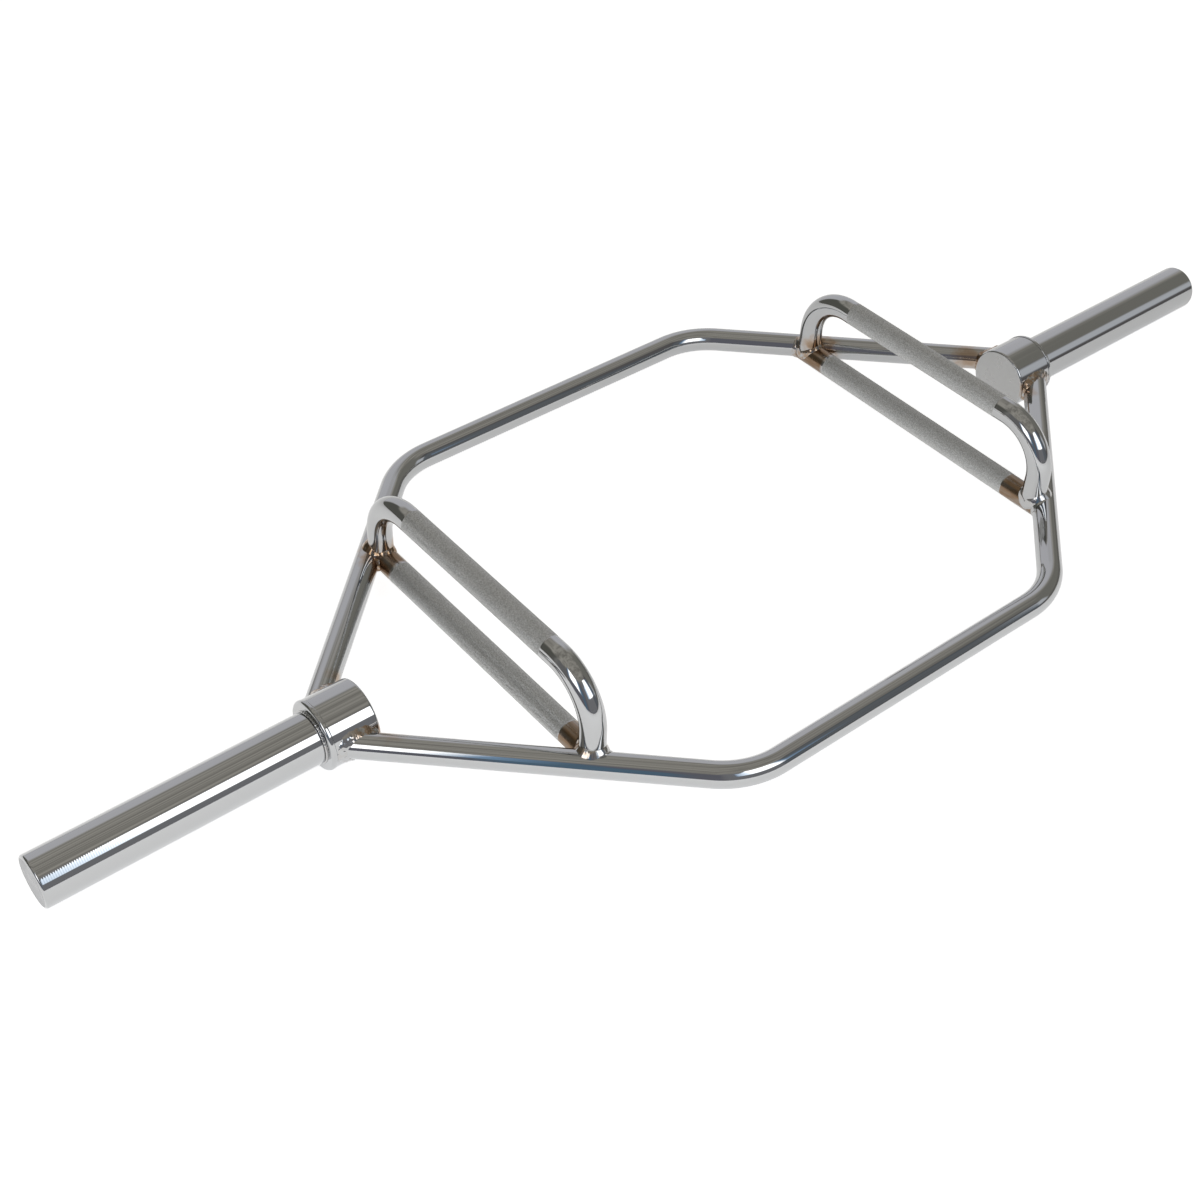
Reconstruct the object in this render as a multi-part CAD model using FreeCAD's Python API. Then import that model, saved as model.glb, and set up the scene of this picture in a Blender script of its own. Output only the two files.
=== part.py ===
import FreeCAD, Part
import os
from math import atan2, cos, pi, sin, sqrt, tan

Vec = FreeCAD.Vector

# Hex trap bar: a hexagon of bent round bar between two hubs, with a plate sleeve on each hub,
# a low and a raised grip on each side, and weld beads at every joint.
# X runs along the sleeves, Y from front to rear, Z up. The origin is on the floor, under the middle.

# Overall, in millimetres
overall_length = 1480.0

# Plate sleeves: tube, turned down where the stop collar seats, closed by a flush plug
sleeve_diameter = 50.0
sleeve_length = 266.0
sleeve_wall = 5.0
sleeve_end_round = 2.5
seat_depth = 0.5
seat_relief = 0.4
plug_thickness = 10.0
plug_clearance = 0.1

# Hubs: turned discs with a spigot that centres the sleeve
hub_diameter = 68.0
hub_length = 46.0
hub_inner_round = 2.2
spigot_length = 37.0
spigot_chamfer = 2.0
spigot_clearance = 0.1

# Stop collars: rings on the sleeves, against the hubs, that the plates come to rest on
collar_diameter = 69.0
collar_thickness = 5.0
collar_round = 3.0
collar_clearance = 0.1
seam_chamfer = 0.4
collar_weld_leg = 1.6

# Hexagon: two bent bars, front and rear
frame_diameter = 25.4
frame_width = 545.0
frame_bend_radius = 85.0
hub_bury = 0.5

# Grips, set back from the hubs, with the hexagon's corners set back from the grips
hub_to_grip = 133.0
grip_to_corner = 92.0
low_handle_diameter = 25.0
raised_handle_diameter = 25.0
raised_height = 83.0
raised_bend_radius = 52.0
leg_inset = 17.0

# Weld beads: how far each one spreads from the faces that it joins
hub_weld_spread = 5.0
low_weld_on_frame = 4.0
low_weld_on_handle = 3.5
foot_weld_height = 4.0
foot_weld_flare = 7.5
foot_weld_on_frame = 3.0
foot_weld_on_handle = 3.4

# Length by which every cutter passes its work
overrun = 20.0

# Places worked out from the sizes
half_length = overall_length / 2
sleeve_radius = sleeve_diameter / 2
bore_radius = sleeve_radius - sleeve_wall
seat_radius = sleeve_radius - seat_depth
hub_radius = hub_diameter / 2
collar_radius = collar_diameter / 2
frame_radius = frame_diameter / 2
low_radius = low_handle_diameter / 2
raised_radius = raised_handle_diameter / 2
axis_height = max(hub_radius, collar_radius)
collar_outer_x = half_length - sleeve_length
seat_end_x = collar_outer_x + collar_weld_leg + seat_relief
hub_outer_x = collar_outer_x - collar_thickness
hub_inner_x = hub_outer_x - hub_length
hub_middle_x = (hub_inner_x + hub_outer_x) / 2
handle_x = hub_inner_x - hub_to_grip
corner_x = handle_x - grip_to_corner
corner_y = frame_width / 2

# Each sloping run aims at the hub's surface, half way along the hub
slope_angle = atan2(corner_y - hub_radius, hub_middle_x - corner_x)
hub_sag = hub_radius - sqrt(hub_radius ** 2 - frame_radius ** 2)
bury_length = (frame_radius * cos(slope_angle) + hub_sag) / sin(slope_angle) + hub_bury
run_end_x = hub_middle_x + bury_length * cos(slope_angle)
run_end_y = hub_radius - bury_length * sin(slope_angle)
handle_y = corner_y - (handle_x - corner_x) * tan(slope_angle)
leg_y = handle_y - leg_inset

sides = {"left": -1, "right": 1}
ends = {"front": -1, "rear": 1}

os.makedirs("parts", exist_ok=True)


def save(name, shape):
    """Write one node and say how many solids it holds and how large they are."""
    shape.exportStep(f"parts/{name}.step")
    print(f"{name}: {len(shape.Solids)} solid(s), {shape.Volume:.0f} mm3, valid {shape.isValid()}")


def round_bar(start, end, radius):
    """A straight round bar between two points."""
    return Part.makeCylinder(radius, (end - start).Length, start, end - start)


def bend_path(points, bend_radius):
    """Straight runs through the points, with a tangent arc at each inner one."""
    edges = []
    run_start = points[0]
    for before, corner, after in zip(points, points[1:], points[2:]):
        back = (before - corner).normalize()
        ahead = (after - corner).normalize()
        half_angle = back.getAngle(ahead) / 2
        tangent = bend_radius / tan(half_angle)
        middle_offset = bend_radius / sin(half_angle) - bend_radius
        arc_start = corner + back * tangent
        arc_end = corner + ahead * tangent
        arc_middle = corner + (back + ahead).normalize() * middle_offset
        edges.append(Part.LineSegment(run_start, arc_start).toShape())
        edges.append(Part.Arc(arc_start, arc_middle, arc_end).toShape())
        run_start = arc_end
    edges.append(Part.LineSegment(run_start, points[-1]).toShape())
    return Part.Wire(edges)


def bent_bar(points, bend_radius, radius):
    """A round bar bent along a path, with its volume compared with its section times its length."""
    path = bend_path(points, bend_radius)
    section = Part.Wire(Part.makeCircle(radius, points[0], points[1] - points[0]))
    bar = path.makePipeShell([section], True, False)
    print(f"bent bar: volume share {bar.Volume / (pi * radius ** 2 * path.Length):.6f}")
    return bar


def turned(profile, side):
    """A solid turned about the sleeve axis from (distance from the middle, radius) points and arcs."""
    face = Part.Face(Part.Wire(profile))
    solid = face.revolve(Vec(0, 0, 0), Vec(1, 0, 0))
    if side < 0:
        solid = solid.mirror(Vec(0, 0, 0), Vec(1, 0, 0))
    solid.translate(Vec(0, 0, axis_height))
    return solid


def lines(points):
    """Straight edges through the points, in order."""
    return [Part.LineSegment(a, b).toShape() for a, b in zip(points, points[1:])]


def quarter_arc(start, centre, end, radius):
    """The arc from start to end about a centre, bulging away from it."""
    out = ((start - centre) + (end - centre)).normalize()
    return Part.Arc(start, centre + out * radius, end).toShape()


def hub(side):
    """Disc with a rounded inner edge, a broken outer edge and the sleeve's spigot."""
    spigot_radius = bore_radius - spigot_clearance
    spigot_end = hub_outer_x + spigot_length
    round_start = Vec(hub_inner_x, hub_radius - hub_inner_round, 0)
    round_end = Vec(hub_inner_x + hub_inner_round, hub_radius, 0)
    round_centre = Vec(hub_inner_x + hub_inner_round, hub_radius - hub_inner_round, 0)
    arc = quarter_arc(round_start, round_centre, round_end, hub_inner_round)
    outer = [
        round_end,
        Vec(hub_outer_x - seam_chamfer, hub_radius, 0),
        Vec(hub_outer_x, hub_radius - seam_chamfer, 0),
        Vec(hub_outer_x, spigot_radius, 0),
        Vec(spigot_end - spigot_chamfer, spigot_radius, 0),
        Vec(spigot_end, spigot_radius - spigot_chamfer, 0),
        Vec(spigot_end, 0, 0),
        Vec(hub_inner_x, 0, 0),
        round_start,
    ]
    return turned([arc] + lines(outer), side)


def stop_collar(side):
    """Ring round the sleeve, against the hub, with a broken inner edge and a rounded outer one."""
    ring_bore = seat_radius + collar_clearance
    round_start = Vec(collar_outer_x - collar_round, collar_radius, 0)
    round_end = Vec(collar_outer_x, collar_radius - collar_round, 0)
    round_centre = Vec(collar_outer_x - collar_round, collar_radius - collar_round, 0)
    arc = quarter_arc(round_start, round_centre, round_end, collar_round)
    inner = [
        round_end,
        Vec(collar_outer_x, ring_bore, 0),
        Vec(hub_outer_x, ring_bore, 0),
        Vec(hub_outer_x, collar_radius - seam_chamfer, 0),
        Vec(hub_outer_x + seam_chamfer, collar_radius, 0),
        round_start,
    ]
    return turned([arc] + lines(inner), side)


def sleeve(side):
    """Tube from the hub's outer face to the end of the bar, with a collar seat and a rounded outer edge."""
    round_start = Vec(half_length - sleeve_end_round, sleeve_radius, 0)
    round_end = Vec(half_length, sleeve_radius - sleeve_end_round, 0)
    round_centre = Vec(half_length - sleeve_end_round, sleeve_radius - sleeve_end_round, 0)
    outside = [
        Vec(hub_outer_x, bore_radius, 0),
        Vec(hub_outer_x, seat_radius, 0),
        Vec(seat_end_x, seat_radius, 0),
        Vec(seat_end_x, sleeve_radius, 0),
        round_start,
    ]
    inside = [round_end, Vec(half_length, bore_radius, 0), Vec(hub_outer_x, bore_radius, 0)]
    arc = quarter_arc(round_start, round_centre, round_end, sleeve_end_round)
    return turned(lines(outside) + [arc] + lines(inside), side)


def end_plug(side):
    """Disc in the mouth of the sleeve, flush with its end."""
    plug_radius = bore_radius - plug_clearance
    plug_start = half_length - plug_thickness
    outline = [
        Vec(plug_start, 0, 0),
        Vec(plug_start, plug_radius, 0),
        Vec(half_length, plug_radius, 0),
        Vec(half_length, 0, 0),
        Vec(plug_start, 0, 0),
    ]
    return turned(lines(outline), side)


def collar_weld(side):
    """Rounded bead in the corner between the stop collar's outer face and the sleeve's seat."""
    on_face = Vec(collar_outer_x, seat_radius + collar_weld_leg, 0)
    corner = Vec(collar_outer_x, seat_radius, 0)
    on_sleeve = Vec(collar_outer_x + collar_weld_leg, seat_radius, 0)
    arc = quarter_arc(on_sleeve, corner, on_face, collar_weld_leg)
    return turned(lines([on_face, corner, on_sleeve]) + [arc], side)


def frame_points(end):
    """Corner points of one half of the hexagon, from the left hub to the right one."""
    return [
        Vec(-run_end_x, end * run_end_y, axis_height),
        Vec(-corner_x, end * corner_y, axis_height),
        Vec(corner_x, end * corner_y, axis_height),
        Vec(run_end_x, end * run_end_y, axis_height),
    ]


def sloping_run(side, end, radius):
    """One sloping run of the hexagon at any radius, from inside its hub to its corner."""
    start = Vec(side * run_end_x, end * run_end_y, axis_height)
    corner = Vec(side * corner_x, end * corner_y, axis_height)
    return round_bar(start, corner, radius)


def low_grip_axis(side):
    """Ends of a low grip, on the axes of the bars that carry it."""
    x = side * handle_x
    return Vec(x, -handle_y, axis_height), Vec(x, handle_y, axis_height)


def raised_grip_points(side):
    """Corner points of a raised grip, from its front foot to its rear one."""
    x = side * handle_x
    top = axis_height + raised_height
    return [
        Vec(x, -leg_y, axis_height),
        Vec(x, -leg_y, top),
        Vec(x, leg_y, top),
        Vec(x, leg_y, axis_height),
    ]


def largest(shape):
    """The main solid of a cut, without the crumbs beyond the cutter."""
    return max(shape.Solids, key=lambda solid: solid.Volume)


def low_grip_skin(side, end, spread):
    """The end of a low grip, grown all round, from the bar's axis to well past the raised grip's foot."""
    start = Vec(side * handle_x, end * handle_y, axis_height)
    reach = leg_inset + raised_radius + overrun
    return round_bar(start, start - Vec(0, end * reach, 0), low_radius + spread)


def hub_weld(side, end, hub_disc, frame_bar):
    """Bead round the coped end of a sloping run, on its hub."""
    skin_start = hub_inner_x + hub_inner_round
    skin_length = hub_outer_x - seam_chamfer - skin_start
    place = Vec(side * skin_start, 0, axis_height)
    hub_skin = Part.makeCylinder(hub_radius + hub_weld_spread, skin_length, place, Vec(side, 0, 0))
    run_skin = sloping_run(side, end, frame_radius + hub_weld_spread)
    return largest(hub_skin.common(run_skin).cut(hub_disc).cut(frame_bar))


def foot_weld(side, end, frame_bar, low_handle, raised_handle):
    """Flared bead round a raised grip's foot, over the bar and the low grip that it stands on."""
    foot = Vec(side * handle_x, end * leg_y, axis_height)
    height = frame_radius + foot_weld_height
    flare = Part.makeCone(raised_radius + foot_weld_flare, raised_radius, height, foot)
    on_frame = flare.common(sloping_run(side, end, frame_radius + foot_weld_on_frame))
    on_handle = flare.common(low_grip_skin(side, end, foot_weld_on_handle))
    return largest(on_frame.fuse(on_handle).cut(raised_handle).cut(frame_bar).cut(low_handle))


def low_weld(side, end, frame_bar, low_handle, raised_handle, foot_bead):
    """Bead where a low grip's coped end meets the frame, under the raised grip's foot."""
    frame_skin = sloping_run(side, end, frame_radius + low_weld_on_frame)
    corner = low_grip_skin(side, end, low_weld_on_handle).common(frame_skin)
    return largest(corner.cut(frame_bar).cut(low_handle).cut(raised_handle).cut(foot_bead))


hubs = {}
for side_name, side in sides.items():
    hubs[side] = hub(side)
    save(f"{side_name}_hub", hubs[side])
    save(f"{side_name}_stop_collar", stop_collar(side))
    save(f"{side_name}_sleeve", sleeve(side))
    save(f"{side_name}_sleeve_end_plug", end_plug(side))
    save(f"{side_name}_collar_weld", collar_weld(side))

frame_bars = {}
for end_name, end in ends.items():
    whole_bar = bent_bar(frame_points(end), frame_bend_radius, frame_radius)
    frame_bars[end] = largest(whole_bar.cut(hubs[-1]).cut(hubs[1]))
    save(f"{end_name}_frame_bar", frame_bars[end])

for side_name, side in sides.items():
    front_point, rear_point = low_grip_axis(side)
    low_grip = round_bar(front_point, rear_point, low_radius)
    low_handle = largest(low_grip.cut(frame_bars[-1]).cut(frame_bars[1]))
    save(f"{side_name}_low_handle", low_handle)

    raised_grip = bent_bar(raised_grip_points(side), raised_bend_radius, raised_radius)
    raised_handle = largest(raised_grip.cut(frame_bars[-1]).cut(frame_bars[1]).cut(low_handle))
    save(f"{side_name}_raised_handle", raised_handle)

    for end_name, end in ends.items():
        bar = frame_bars[end]
        foot_bead = foot_weld(side, end, bar, low_handle, raised_handle)
        low_bead = low_weld(side, end, bar, low_handle, raised_handle, foot_bead)
        save(f"{side_name}_{end_name}_hub_weld", hub_weld(side, end, hubs[side], bar))
        save(f"{side_name}_{end_name}_foot_weld", foot_bead)
        save(f"{side_name}_{end_name}_low_handle_weld", low_bead)
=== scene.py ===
from math import atan2, copysign, cos, exp, hypot, pi, radians, sin, tan
import bmesh
import bpy
from mathutils import Matrix, Vector, noise


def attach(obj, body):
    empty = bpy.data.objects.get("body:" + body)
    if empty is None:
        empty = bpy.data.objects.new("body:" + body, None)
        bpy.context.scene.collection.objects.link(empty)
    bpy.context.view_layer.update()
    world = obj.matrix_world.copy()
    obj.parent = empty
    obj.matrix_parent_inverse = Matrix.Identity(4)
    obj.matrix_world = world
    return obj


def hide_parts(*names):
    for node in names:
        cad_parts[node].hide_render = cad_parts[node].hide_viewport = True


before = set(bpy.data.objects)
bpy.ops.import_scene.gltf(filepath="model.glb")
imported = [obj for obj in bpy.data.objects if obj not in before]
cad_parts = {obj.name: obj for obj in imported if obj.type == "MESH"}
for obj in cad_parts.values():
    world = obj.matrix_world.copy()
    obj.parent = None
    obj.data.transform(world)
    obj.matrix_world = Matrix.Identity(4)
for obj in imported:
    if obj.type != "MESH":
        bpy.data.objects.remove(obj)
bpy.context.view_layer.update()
scene = bpy.context.scene
print("frame loaded:", len(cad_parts), "nodes")

# where the bar's own lines run, in metres, the same as in the solids
layout = {
    "axisHeight": 0.0345,
    "gripX": 0.290, "gripEndY": 0.18398, "legY": 0.16698,
    "cornerX": 0.198, "cornerY": 0.2725,
    "hubMiddleX": 0.446, "hubRadius": 0.034,
}
slopeAngle = atan2(layout["cornerY"] - layout["hubRadius"], layout["hubMiddleX"] - layout["cornerX"])
sides = {"left": -1, "right": 1}
ends = {"front": -1, "rear": 1}


# camera at the photograph's angle
viewpoint = {
    "yaw": -39.75, "pitch": 42.59, "roll": 1.65,
    "distance": 1.800, "slideRight": 0.11558, "slideUp": 0.07342,
    "lens": 53.496, "sensor": 36, "nearest": 0.05, "farthest": 60,
}


def photoCamera():
    yaw, pitch, roll = (radians(viewpoint[k]) for k in ("yaw", "pitch", "roll"))
    back = Vector((sin(yaw) * cos(pitch), -cos(yaw) * cos(pitch), sin(pitch)))
    level = (-back).cross(Vector((0, 0, 1))).normalized()
    tilt = level.cross(-back)
    right = level * cos(roll) + tilt * sin(roll)
    up = tilt * cos(roll) - level * sin(roll)
    data = bpy.data.cameras.new("photoCamera")
    data.sensor_width = viewpoint["sensor"]
    data.lens = viewpoint["lens"]
    data.clip_start = viewpoint["nearest"]
    data.clip_end = viewpoint["farthest"]
    camera = bpy.data.objects.new("photoCamera", data)
    place = Matrix((right, up, back)).transposed().to_4x4()
    middle = Vector((0, 0, layout["axisHeight"]))
    place.translation = (middle + back * viewpoint["distance"]
                         - right * viewpoint["slideRight"] - up * viewpoint["slideUp"])
    camera.matrix_world = place
    scene.collection.objects.link(camera)
    scene.camera = camera


photoCamera()
print("camera placed")


# small helpers for node trees
def addNode(tree, kind, inputs=None, **settings):
    node = tree.nodes.new(kind)
    for key, value in settings.items():
        setattr(node, key, value)
    for key, value in (inputs or {}).items():
        if isinstance(value, bpy.types.NodeSocket):
            tree.links.new(value, node.inputs[key])
        else:
            node.inputs[key].default_value = value
    return node


def calc(tree, operation, a, b=0.0):
    return addNode(tree, "ShaderNodeMath", {0: a, 1: b}, operation=operation).outputs[0]


def weighted(tree, first, firstWeight, second, secondWeight):
    one = calc(tree, "MULTIPLY", first, firstWeight)
    other = calc(tree, "MULTIPLY", second, secondWeight)
    return calc(tree, "ADD", one, other)


def fade(tree, value, start, stop, low=0.0, high=1.0):
    inputs = {"Value": value, "From Min": start, "From Max": stop, "To Min": low, "To Max": high}
    return addNode(tree, "ShaderNodeMapRange", inputs, interpolation_type="SMOOTHSTEP").outputs["Result"]


def mixColor(tree, share, first, second, blend="MIX"):
    inputs = {0: share, 6: first, 7: second}
    return addNode(tree, "ShaderNodeMix", inputs, data_type="RGBA", blend_type=blend).outputs[2]


def mixValue(tree, share, first, second):
    return addNode(tree, "ShaderNodeMix", {0: share, 2: first, 3: second}, data_type="FLOAT").outputs[0]


def grain(tree, vector, scale, detail=2.0, rough=0.5):
    inputs = {"Vector": vector, "Scale": scale, "Detail": detail, "Roughness": rough}
    return addNode(tree, "ShaderNodeTexNoise", inputs).outputs["Fac"]


def streaks(tree, vector, stretch, detail, rough=0.5):
    drawn = addNode(tree, "ShaderNodeMapping", {"Vector": vector, "Scale": stretch}).outputs["Vector"]
    return grain(tree, drawn, 1.0, detail, rough)


def objectSpot(tree):
    return addNode(tree, "ShaderNodeTexCoord").outputs["Object"]


def axes(tree, vector):
    return addNode(tree, "ShaderNodeSeparateXYZ", {0: vector}).outputs


def painted(tree, name, output="Fac"):
    # a value that the mesh carries at each vertex
    return addNode(tree, "ShaderNodeAttribute", attribute_name=name).outputs[output]


def cameraRay(tree):
    return addNode(tree, "ShaderNodeLightPath").outputs["Is Camera Ray"]


def meshObject(name, bm, materials):
    mesh = bpy.data.meshes.new(name)
    for material in materials:
        mesh.materials.append(material)
    bm.to_mesh(mesh)
    bm.free()
    thing = bpy.data.objects.new(name, mesh)
    scene.collection.objects.link(thing)
    return thing


# studio: a pale floor, soft lamps in front, and plain walls all round that show only in reflections
studio = {
    "ceiling": (0.345, 0.33, 0.295, 1),
    "beams": (1.2, 9.0, 6.0), "beamSpread": (0.36, 0.64), "beamShade": (0.70, 1.30),
    # colour, span round about, span upwards, softness of the sides, softness of top and bottom
    # spans are in degrees, 0 along +X and 90 along +Y
    "walls": [
        ((0.64, 0.64, 0.668, 1), (26, 92), (-30, 43), 8, 6),
        ((0.125, 0.125, 0.11, 1), (92, 156), (-30, 40), 3, 6),
        ((0.19, 0.19, 0.19, 1), (156, 190), (-30, 40), 8, 6),
        ((0.235, 0.23, 0.205, 1), (-36, 16), (15, 49), 6, 6),
        ((0.185, 0.18, 0.165, 1), (-36, 20), (-30, 15), 6, 5),
        ((0.135, 0.13, 0.13, 1), (-64, -36), (-30, 50), 4, 5),
        ((0.24, 0.243, 0.255, 1), (-122, -62), (-30, 52), 5, 6),
        ((0.17, 0.172, 0.20, 1), (-190, -120), (-30, 46), 5, 7),
        ((0.62, 0.645, 0.68, 1), (-48, -33), (11, 30), 3, 3),
    ],
    "backdrop": (1, 1, 1, 1),
    "floorColor": (0.80, 0.80, 0.80, 1), "floorRoughness": 0.9, "floorRadius": 24, "floorSides": 64,
    "floorGlow": 0.78, "floorFront": 0.66, "floorBack": 0.42, "floorReach": 0.9,
    "lampPower": 2.6, "lampEdge": 0.04, "droopSpan": (0.26, 0.42),
}
inDegrees = 180 / pi
half = 0.5  # a lamp's sheet runs from -half to half before it is sized
lampWhite, lampPale, lampDim = (1, 1, 1, 1), (0.60, 0.67, 0.75, 1), (0.22, 0.28, 0.36, 1)
lampBlue, lampDusk = (0.10, 0.16, 0.235, 1), (0.060, 0.065, 0.070, 1)
lampDeep, lampClear = (0.045, 0.075, 0.105, 1), (0.045, 0.075, 0.105, 0)
lamps = {  # centre, size, facing, how much lower the far end is, colours from the near end to the far end
    "frontLamp": ((0.45, -1.6, 1.42), (2.3, 1.40), (0, 1, 0), 0.44, [
        (0.0, lampClear), (0.10, lampDusk), (0.29, lampDusk), (0.37, lampBlue), (0.48, lampWhite),
        (0.78, lampWhite), (0.84, lampPale), (0.96, lampDim), (1.0, lampClear)]),
    "frontSpill": ((1.0, -1.62, 0.45), (1.1, 0.56), (0, 1, 0), 0.0, [
        (0.0, lampClear), (0.3, lampDusk), (0.7, lampDusk), (1.0, lampClear)]),
    "leftLamp": ((-1.6, -0.80, 1.14), (1.3, 1.04), (1, 0, 0), 0.0, [
        (0.0, lampClear), (0.10, lampDeep), (0.28, lampBlue), (0.42, lampWhite),
        (0.85, lampWhite), (0.93, lampBlue), (1.0, lampClear)]),
    "leftSpill": ((-1.62, -1.40, 0.63), (0.62, 1.18), (1, 0, 0), 0.0, [
        (0.0, lampClear), (0.15, lampDeep), (0.8, lampDeep), (1.0, lampClear)]),
}


def between(tree, value, span, soft):
    rise = fade(tree, value, span[0] - soft, span[0] + soft)
    fall = fade(tree, value, span[1] + soft, span[1] - soft)
    return calc(tree, "MULTIPLY", rise, fall)


def wallMask(tree, around, upward, spanAround, spanUp, softAround, softUp):
    across = between(tree, around, spanAround, softAround)
    high = between(tree, upward, spanUp, softUp)
    return calc(tree, "MULTIPLY", across, high)


def studioWalls():
    world = bpy.data.worlds.new("studioWalls")
    scene.world = world
    world.use_nodes = True
    tree = world.node_tree
    tree.nodes.clear()
    toward = addNode(tree, "ShaderNodeTexCoord").outputs["Generated"]
    way = axes(tree, toward)
    around = calc(tree, "MULTIPLY", calc(tree, "ARCTAN2", way["Y"], way["X"]), inDegrees)
    upward = calc(tree, "MULTIPLY", calc(tree, "ARCSINE", way["Z"]), inDegrees)
    beams = streaks(tree, toward, studio["beams"], 4.0, 0.6)
    shade = fade(tree, beams, *studio["beamSpread"], *studio["beamShade"])
    gray = addNode(tree, "ShaderNodeCombineColor", {i: shade for i in range(3)}).outputs[0]
    color = mixColor(tree, 1.0, studio["ceiling"], gray, "MULTIPLY")
    for wallColor, *spans in studio["walls"]:
        color = mixColor(tree, wallMask(tree, around, upward, *spans), color, wallColor)
    color = mixColor(tree, cameraRay(tree), color, studio["backdrop"])
    light = addNode(tree, "ShaderNodeBackground", {"Color": color, "Strength": 1.0}).outputs[0]
    addNode(tree, "ShaderNodeOutputWorld", {"Surface": light})


def floorPaint():
    paint = bpy.data.materials.new("paleFloor")
    paint.use_nodes = True
    tree = paint.node_tree
    shader = tree.nodes["Principled BSDF"]
    shader.inputs["Base Color"].default_value = studio["floorColor"]
    shader.inputs["Roughness"].default_value = studio["floorRoughness"]
    shader.inputs["Specular IOR Level"].default_value = 0.0
    shader.inputs["Emission Color"].default_value = (1, 1, 1, 1)
    place, reach = axes(tree, objectSpot(tree)), studio["floorReach"]
    slanting = calc(tree, "ADD", place["X"], place["Y"])
    mirrored = fade(tree, slanting, -reach, reach, studio["floorFront"], studio["floorBack"])
    glow = mixValue(tree, cameraRay(tree), mirrored, studio["floorGlow"])
    tree.links.new(glow, shader.inputs["Emission Strength"])
    return paint


def studioFloor():
    bm = bmesh.new()
    bmesh.ops.create_circle(bm, cap_ends=True, radius=studio["floorRadius"], segments=studio["floorSides"])
    floor = meshObject("floor", bm, [floorPaint()])


def lampGlow(name, droop, stops):
    glow = bpy.data.materials.new(name)
    glow.use_nodes = True
    tree = glow.node_tree
    tree.nodes.clear()
    sheet = axes(tree, objectSpot(tree))
    ramp = addNode(tree, "ShaderNodeValToRGB", {0: calc(tree, "ADD", sheet["X"], half)})
    marks = ramp.color_ramp.elements
    marks[0].position, marks[1].position = stops[0][0], stops[-1][0]
    marks[0].color, marks[1].color = stops[0][1], stops[-1][1]
    for place, color in stops[1:-1]:
        marks.new(place).color = color
    inputs = {"Color": ramp.outputs["Color"], "Strength": studio["lampPower"]}
    shine = addNode(tree, "ShaderNodeEmission", inputs).outputs[0]
    clear = addNode(tree, "ShaderNodeBsdfTransparent").outputs[0]
    top = fade(tree, sheet["X"], *studio["droopSpan"], half, half - droop)
    upper = fade(tree, sheet["Y"], top, calc(tree, "SUBTRACT", top, studio["lampEdge"]))
    lower = fade(tree, sheet["Y"], -half, studio["lampEdge"] - half)
    edge = calc(tree, "MULTIPLY", ramp.outputs["Alpha"], calc(tree, "MULTIPLY", upper, lower))
    both = addNode(tree, "ShaderNodeMixShader", {0: edge, 1: clear, 2: shine}).outputs[0]
    addNode(tree, "ShaderNodeOutputMaterial", {"Surface": both})
    return glow


def softLamp(name, centre, size, facing, droop, stops):
    bm = bmesh.new()
    bmesh.ops.create_grid(bm, x_segments=1, y_segments=1, size=half)
    lamp = meshObject(name, bm, [lampGlow(name, droop, stops)])
    turned = Vector(facing).to_track_quat("Z", "Y").to_matrix().to_4x4()
    lamp.matrix_world = Matrix.Translation(centre) @ turned @ Matrix.Diagonal((*size, 1, 1))
    lamp.visible_camera = False


studioWalls()
studioFloor()
for lampName, values in lamps.items():
    softLamp(lampName, *values)
scene.view_settings.view_transform = "Standard"
print("studio ready")


# finishes: effects that several finishes share are groups, and heights are in mm
finish = {
    "chrome": (0.53, 0.535, 0.54, 1),
    "stain": (0.25, 0.165, 0.10, 1), "copper": (0.46, 0.35, 0.265, 1),
    # the knurl's two colours are painted shade and painted glints for its facets
    "knurlPaintedShade": (0.41, 0.41, 0.40, 1), "knurlPaintedGlint": (0.735, 0.74, 0.735, 1),
    "faceDark": (0.46, 0.46, 0.455, 1), "faceLight": (0.535, 0.535, 0.535, 1),
    # the end faces' colours are darker than the chrome: painted shade for the shadow at the sleeve ends
    "endShadeDark": (0.35, 0.355, 0.36, 1), "endShadeLight": (0.42, 0.425, 0.435, 1),
}
millimetre = 0.001


def newGroup(name, inputs, outputs):
    # an input with no value is a vector, and every other socket is a number
    group = bpy.data.node_groups.new(name, "ShaderNodeTree")
    for socketName, value in inputs.items():
        kind = "NodeSocketVector" if value is None else "NodeSocketFloat"
        socket = group.interface.new_socket(socketName, in_out="INPUT", socket_type=kind)
        if value is not None:
            socket.default_value = value
    for socketName in outputs:
        group.interface.new_socket(socketName, in_out="OUTPUT", socket_type="NodeSocketFloat")
    given = group.nodes.new("NodeGroupInput")
    result = group.nodes.new("NodeGroupOutput")
    return group, given.outputs, result.inputs


polishLook = {"waves": (9, 60, 60), "lines": (5, 620, 620), "spread": (0.35, 0.75), "gloss": (0.035, 0.085)}


def polishGroup():
    # lengthwise buffing lines and slow waves, in the straightened bar's own coordinates
    inputs = {"Vector": None, "Wave": 0.02, "Lines": 0.01}
    group, given, result = newGroup("barPolish", inputs, ["Height", "Gloss"])
    slow = streaks(group, given["Vector"], polishLook["waves"], 1.0)
    fine = streaks(group, given["Vector"], polishLook["lines"], 2.0)
    group.links.new(weighted(group, slow, given["Wave"], fine, given["Lines"]), result["Height"])
    group.links.new(fade(group, fine, *polishLook["spread"], *polishLook["gloss"]), result["Gloss"])
    return group


turningLook = {"rings": (2200, 6, 6), "waves": (18, 26, 26), "spread": (0.3, 0.7), "gloss": (0.03, 0.07)}


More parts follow.
